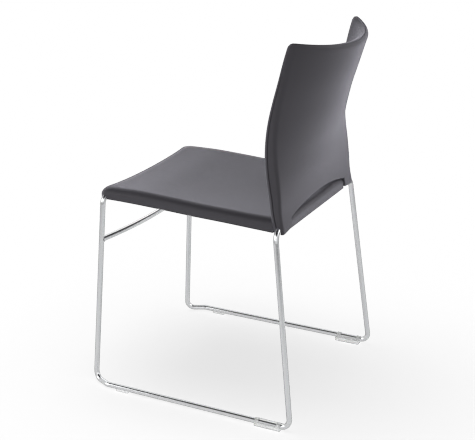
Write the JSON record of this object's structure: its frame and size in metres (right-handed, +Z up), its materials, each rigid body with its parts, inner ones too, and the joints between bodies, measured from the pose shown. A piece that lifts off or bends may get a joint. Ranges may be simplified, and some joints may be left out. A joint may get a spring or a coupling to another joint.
{
  "type": "conference chair",
  "caption": "Stackable conference chair with an upholstered seat and wrap-round back on a chromed round-rod sled base with a bowed front stretcher.",
  "frame": {"origin": "on the floor, under the middle of the chair's box", "axes": "+Z up, -Y the way the sitter faces, +X the sitter's left"},
  "size_m": [0.5158, 0.5697, 0.8575],
  "materials": {
    "frame_chrome": "polished chrome plate on bent steel rod",
    "bracket_steel": "plain zinc-plated steel, hidden in the upholstery",
    "screw_steel": "zinc-plated machine screws",
    "insert_brass": "plain threaded inserts",
    "shell_plywood": "moulded beech plywood, unfinished under the padding",
    "panel_plastic": "matt black moulded underseat panel",
    "foam": "open-cell polyurethane foam",
    "cover": "fine, tightly woven anthracite cloth with a soft sheen",
    "glide_clear": "clear polycarbonate, a little milky"
  },
  "bodies": {
    "root": {"frame_rod_left": "frame_chrome", "frame_rod_right": "frame_chrome", "front_stretcher": "frame_chrome", "back_upright_left": "bracket_steel", "back_upright_right": "bracket_steel", "back_shell": "shell_plywood", "back_inserts": "insert_brass", "back_screws": "screw_steel", "back_foam": "foam", "back_rear_padding": "foam", "back_cover_front": "cover", "back_cover_rear": "cover", "seat_tab_front_left": "bracket_steel", "seat_tab_front_right": "bracket_steel", "seat_tab_rear_left": "bracket_steel", "seat_tab_rear_right": "bracket_steel", "seat_screws": "screw_steel", "seat_shell": "shell_plywood", "underseat_panel": "panel_plastic", "seat_foam": "foam", "seat_cover": "cover", "glide_front_left": "glide_clear", "glide_front_right": "glide_clear", "glide_rear_left": "glide_clear", "glide_rear_right": "glide_clear"}
  },
  "joints": []
}
